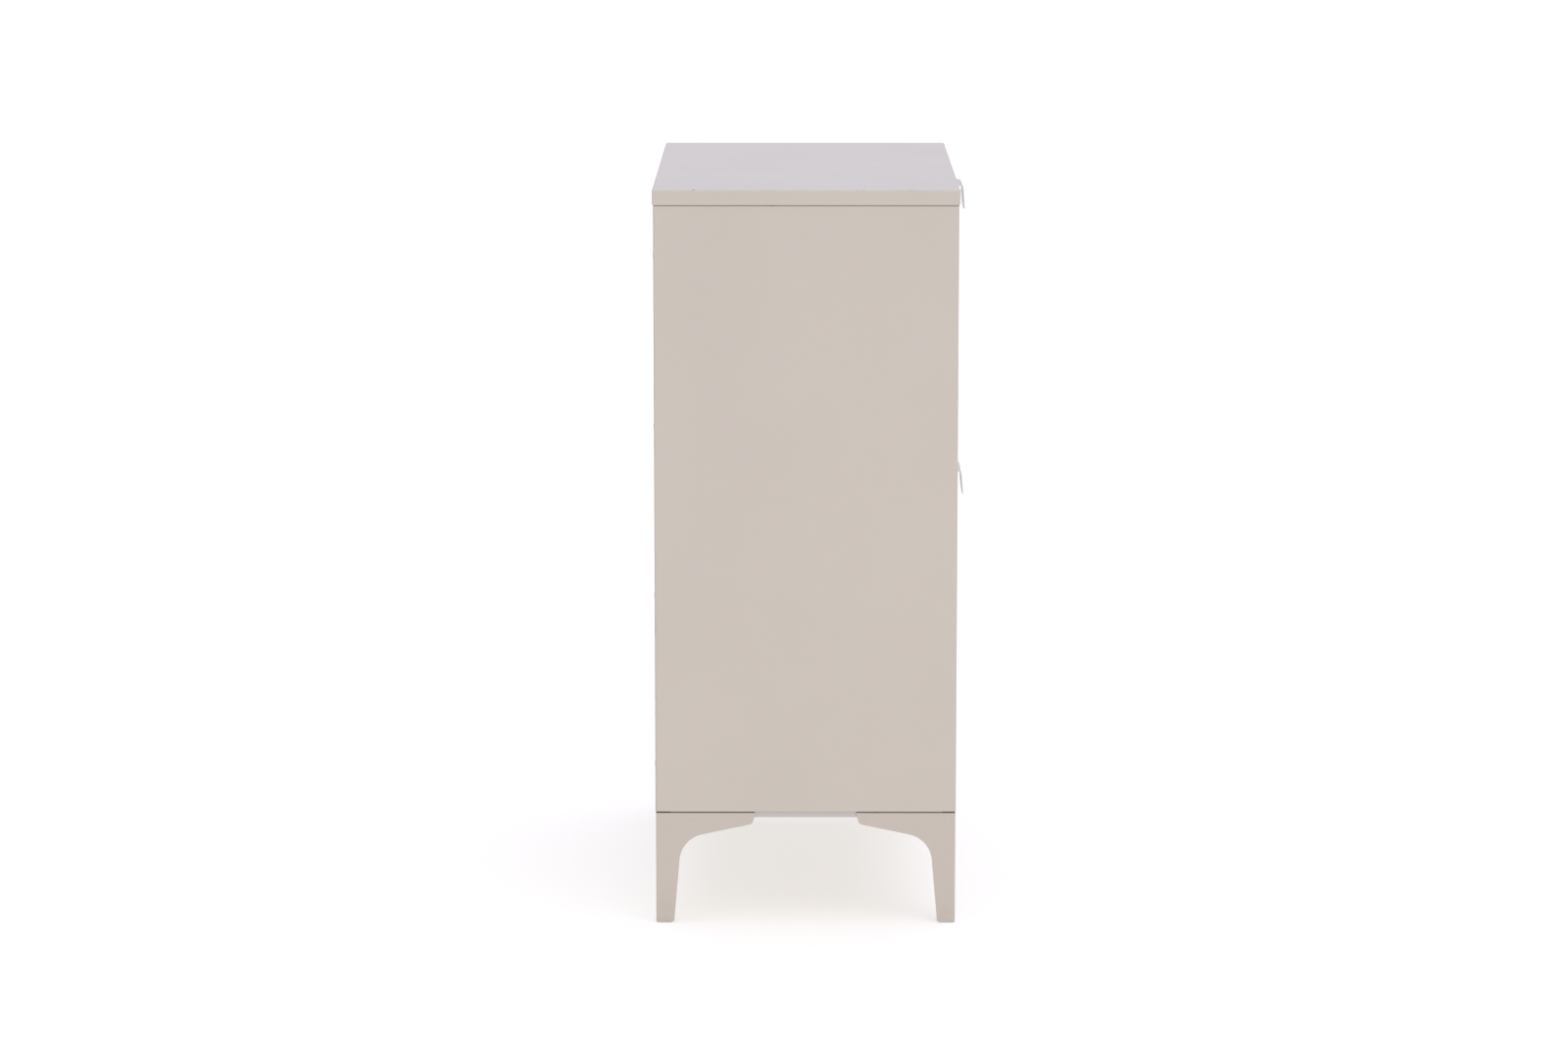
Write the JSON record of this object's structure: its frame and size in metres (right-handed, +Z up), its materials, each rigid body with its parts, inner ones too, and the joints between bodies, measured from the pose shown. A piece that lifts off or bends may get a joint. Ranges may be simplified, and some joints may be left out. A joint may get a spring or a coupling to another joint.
{
  "type": "filing cabinet",
  "caption": "Slim metal filing cabinet with stacked wide drawers on full-extension ball runners, a folded lid, small folded sheet pulls and tapered sheet-metal corner legs.",
  "frame": {"origin": "on the floor, midway between the outermost points left to right and front to back, pulls included", "axes": "+Z up, +X to the right and +Y to the back for someone facing the drawer fronts, which face -Y"},
  "size_m": [0.7, 0.4168, 0.9741],
  "materials": {
    "body_paint": "fine textured powder coat, warm light grey",
    "front_paint": "fine textured powder coat, warm light grey",
    "leg_paint": "fine textured powder coat, warm light grey",
    "inner_paint": "thin powder coat, warm light grey",
    "tray_paint": "smooth powder coat, warm light grey",
    "pull_metal": "satin brushed",
    "runner_zinc": "bright zinc plate with a trace of grease",
    "cage_steel": "pressed plain steel",
    "ball_steel": "polished",
    "screw_steel": "zinc plated",
    "pad_plastic": "moulded, dark grey",
    "bumper_rubber": "matt"
  },
  "bodies": {
    "cabinet": {"top_cap": "body_paint", "side_panel_left": "body_paint", "side_panel_right": "body_paint", "back_panel": "body_paint", "base_pan": "inner_paint", "cap_channels": "inner_paint", "front_rail_top": "inner_paint", "front_rail_middle": "inner_paint", "frame_bumpers": "bumper_rubber", "leg_front_left": "leg_paint", "leg_front_right": "leg_paint", "leg_back_left": "leg_paint", "leg_back_right": "leg_paint", "foot_pads": "pad_plastic", "leg_bolts": "screw_steel", "weld_nuts": "screw_steel", "panel_screws": "screw_steel", "runner_rivets": "screw_steel", "runner_bracket_upper_left": "inner_paint", "runner_outer_upper_left": "runner_zinc", "runner_bracket_upper_right": "inner_paint", "runner_outer_upper_right": "runner_zinc", "runner_bracket_lower_left": "inner_paint", "runner_outer_lower_left": "runner_zinc", "runner_bracket_lower_right": "inner_paint", "runner_outer_lower_right": "runner_zinc"},
    "upper_drawer": {"drawer_front_upper": "front_paint", "front_liner_upper": "tray_paint", "tray_floor_upper": "tray_paint", "tray_side_upper_left": "tray_paint", "tray_side_upper_right": "tray_paint", "tray_back_upper": "tray_paint", "file_rails_upper": "tray_paint", "pull_upper": "pull_metal", "drawer_screws_upper": "screw_steel", "runner_inner_upper_left": "runner_zinc", "runner_inner_upper_right": "runner_zinc"},
    "upper_middle_runners": {"runner_middle_upper_left": "runner_zinc", "runner_middle_upper_right": "runner_zinc"},
    "upper_outer_cages": {"ball_cage_outer_upper": "cage_steel", "balls_outer_upper": "ball_steel"},
    "upper_inner_cages": {"ball_cage_inner_upper": "cage_steel", "balls_inner_upper": "ball_steel"},
    "lower_drawer": {"drawer_front_lower": "front_paint", "front_liner_lower": "tray_paint", "tray_floor_lower": "tray_paint", "tray_side_lower_left": "tray_paint", "tray_side_lower_right": "tray_paint", "tray_back_lower": "tray_paint", "file_rails_lower": "tray_paint", "pull_lower": "pull_metal", "drawer_screws_lower": "screw_steel", "runner_inner_lower_left": "runner_zinc", "runner_inner_lower_right": "runner_zinc"},
    "lower_middle_runners": {"runner_middle_lower_left": "runner_zinc", "runner_middle_lower_right": "runner_zinc"},
    "lower_outer_cages": {"ball_cage_outer_lower": "cage_steel", "balls_outer_lower": "ball_steel"},
    "lower_inner_cages": {"ball_cage_inner_lower": "cage_steel", "balls_inner_lower": "ball_steel"}
  },
  "joints": [
    {"name": "upper_drawer_slide", "type": "slide", "parent": "cabinet", "child": "upper_drawer", "axis": [0, -1, 0], "range_m": [0, 0.35]},
    {"name": "upper_middle_slide", "type": "slide", "parent": "cabinet", "child": "upper_middle_runners", "axis": [0, -1, 0], "range_m": [0, 0.175]},
    {"name": "upper_outer_cage_slide", "type": "slide", "parent": "cabinet", "child": "upper_outer_cages", "axis": [0, -1, 0], "range_m": [0, 0.0875]},
    {"name": "upper_inner_cage_slide", "type": "slide", "parent": "cabinet", "child": "upper_inner_cages", "axis": [0, -1, 0], "range_m": [0, 0.2625]},
    {"name": "lower_drawer_slide", "type": "slide", "parent": "cabinet", "child": "lower_drawer", "axis": [0, -1, 0], "range_m": [0, 0.35]},
    {"name": "lower_middle_slide", "type": "slide", "parent": "cabinet", "child": "lower_middle_runners", "axis": [0, -1, 0], "range_m": [0, 0.175]},
    {"name": "lower_outer_cage_slide", "type": "slide", "parent": "cabinet", "child": "lower_outer_cages", "axis": [0, -1, 0], "range_m": [0, 0.0875]},
    {"name": "lower_inner_cage_slide", "type": "slide", "parent": "cabinet", "child": "lower_inner_cages", "axis": [0, -1, 0], "range_m": [0, 0.2625]}
  ],
  "couplings": [
    {"joint": "upper_middle_slide", "follows": "upper_drawer_slide", "ratio": 0.5},
    {"joint": "upper_outer_cage_slide", "follows": "upper_drawer_slide", "ratio": 0.25},
    {"joint": "upper_inner_cage_slide", "follows": "upper_drawer_slide", "ratio": 0.75},
    {"joint": "lower_middle_slide", "follows": "lower_drawer_slide", "ratio": 0.5},
    {"joint": "lower_outer_cage_slide", "follows": "lower_drawer_slide", "ratio": 0.25},
    {"joint": "lower_inner_cage_slide", "follows": "lower_drawer_slide", "ratio": 0.75}
  ]
}
